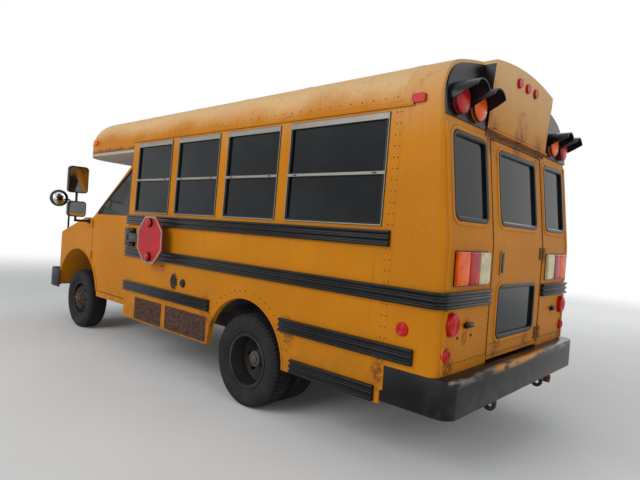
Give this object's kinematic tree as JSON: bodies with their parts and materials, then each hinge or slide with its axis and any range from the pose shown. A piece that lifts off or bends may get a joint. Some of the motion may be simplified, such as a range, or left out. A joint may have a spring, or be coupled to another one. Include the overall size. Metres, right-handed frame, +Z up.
{
  "type": "short school bus",
  "caption": "Short school bus on a cutaway van chassis, with folding stop sign, rear emergency door, split entry door, twin rear wheels and steered front wheels.",
  "frame": {"origin": "on the ground below the middle of the bus", "axes": "+X to the bus's left, -Y to its front, +Z up"},
  "size_m": [2.58, 6.21, 2.6999],
  "materials": {
    "body_yellow": "semi-gloss",
    "roof_yellow": "chalky",
    "black_trim": "satin",
    "silver_frame": "weathered",
    "dark_glass": "tinted",
    "clear_glass": "clear",
    "mirror_face": "polished",
    "white_panel": "weathered",
    "sign_red": "semi-gloss",
    "red_lens": "glossy",
    "amber_lens": "glossy",
    "clear_lens": "glossy",
    "rusty_mesh": "rusted",
    "chassis_black": "rusted",
    "cast_grey": "rough",
    "wheel_black": "worn",
    "tyre_rubber": "dusty",
    "floor_rubber": "ribbed",
    "cab_plastic": "grained",
    "seat_vinyl": "vinyl"
  },
  "bodies": {
    "root": {"left_wall": "body_yellow", "right_wall": "body_yellow", "roof_shell": "roof_yellow", "rear_wall": "body_yellow", "body_floor": "floor_rubber", "window_frames": "silver_frame", "body_glass": "dark_glass", "rub_rails": "black_trim", "vent_grilles": "rusty_mesh", "cab_shell": "body_yellow", "windscreen": "clear_glass", "grille": "cab_plastic", "rear_bumper": "black_trim", "front_bumper": "black_trim", "chassis_frame": "chassis_black", "engine_block": "cast_grey", "driveline": "chassis_black", "rear_springs": "chassis_black", "front_suspension": "chassis_black", "fuel_tank": "chassis_black", "exhaust": "cast_grey", "front_cap": "roof_yellow", "soffit_panel": "white_panel", "entry_portal": "black_trim", "stop_arm_base": "black_trim", "dashboard": "cab_plastic", "bench_cushions": "seat_vinyl", "bench_frames": "chassis_black", "driver_seat": "seat_vinyl", "warning_pods": "black_trim", "sign_panels": "body_yellow", "lamps_red": "red_lens", "lamps_amber": "amber_lens", "lamps_clear": "clear_lens", "mirrors": "black_trim", "mirror_glass": "mirror_face"},
    "hood": {"hood_panel": "body_yellow"},
    "cab_door": {"driver_door": "body_yellow", "driver_door_glass": "clear_glass"},
    "entry_front": {"entry_leaf_front": "black_trim", "entry_glass_front": "dark_glass"},
    "entry_rear": {"entry_leaf_rear": "black_trim", "entry_glass_rear": "dark_glass"},
    "exit_door": {"rear_door": "body_yellow", "rear_door_glass": "dark_glass"},
    "stop_arm": {"stop_sign": "sign_red"},
    "steering": {"steering_wheel": "cab_plastic"},
    "steer_left": {"knuckle_left": "cast_grey"},
    "steer_right": {"knuckle_right": "cast_grey"},
    "wheel_front_left": {"tyre_front_left": "tyre_rubber", "rim_front_left": "wheel_black"},
    "wheel_front_right": {"tyre_front_right": "tyre_rubber", "rim_front_right": "wheel_black"},
    "wheels_rear_left": {"tyres_rear_left": "tyre_rubber", "rims_rear_left": "wheel_black"},
    "wheels_rear_right": {"tyres_rear_right": "tyre_rubber", "rims_rear_right": "wheel_black"}
  },
  "joints": [
    {"name": "hood_open", "type": "hinge", "parent": "root", "child": "hood", "pos_m": [0, -2.097, 1.417], "axis": [-1, 0, 0], "range_deg": [0, 55]},
    {"name": "cab_door_open", "type": "hinge", "parent": "root", "child": "cab_door", "pos_m": [1.012, -1.855, 1], "axis": [0, 0, -1], "range_deg": [0, 65]},
    {"name": "entry_front_open", "type": "hinge", "parent": "root", "child": "entry_front", "pos_m": [-1.012, -1.557, 1.2], "axis": [0, 0, 1], "range_deg": [0, 90]},
    {"name": "entry_rear_open", "type": "hinge", "parent": "root", "child": "entry_rear", "pos_m": [-1.012, -0.788, 1.2], "axis": [0, 0, -1], "range_deg": [0, 90]},
    {"name": "exit_door_open", "type": "hinge", "parent": "root", "child": "exit_door", "pos_m": [-0.464, 3.017, 1.3], "axis": [0, 0, 1], "range_deg": [0, 110]},
    {"name": "stop_arm_open", "type": "hinge", "parent": "root", "child": "stop_arm", "pos_m": [1.177, -0.545, 1.255], "axis": [0, 0, -1], "range_deg": [0, 90]},
    {"name": "steer_left_turn", "type": "hinge", "parent": "root", "child": "steer_left", "pos_m": [0.76, -2.238, 0.372], "axis": [0, 0, 1], "range_deg": [-32, 32]},
    {"name": "steer_right_turn", "type": "hinge", "parent": "root", "child": "steer_right", "pos_m": [-0.76, -2.238, 0.372], "axis": [0, 0, 1], "range_deg": [-32, 32]},
    {"name": "steering_wheel_turn", "type": "hinge", "parent": "root", "child": "steering", "pos_m": [0.52, -1.668, 1.2], "axis": [0, 0.8192, 0.5736], "range_deg": [-480, 480]},
    {"name": "roll_front_left", "type": "hinge", "parent": "steer_left", "child": "wheel_front_left", "pos_m": [0.855, -2.238, 0.372], "axis": [1, 0, 0], "continuous": true},
    {"name": "roll_front_right", "type": "hinge", "parent": "steer_right", "child": "wheel_front_right", "pos_m": [-0.855, -2.238, 0.372], "axis": [1, 0, 0], "continuous": true},
    {"name": "roll_rear_left", "type": "hinge", "parent": "root", "child": "wheels_rear_left", "pos_m": [0.862, 1.293, 0.372], "axis": [1, 0, 0], "continuous": true},
    {"name": "roll_rear_right", "type": "hinge", "parent": "root", "child": "wheels_rear_right", "pos_m": [-0.862, 1.293, 0.372], "axis": [1, 0, 0], "continuous": true}
  ],
  "couplings": [
    {"joint": "steer_right_turn", "follows": "steer_left_turn", "ratio": 1},
    {"joint": "entry_rear_open", "follows": "entry_front_open", "ratio": 1},
    {"joint": "steering_wheel_turn", "follows": "steer_left_turn", "ratio": 15}
  ]
}
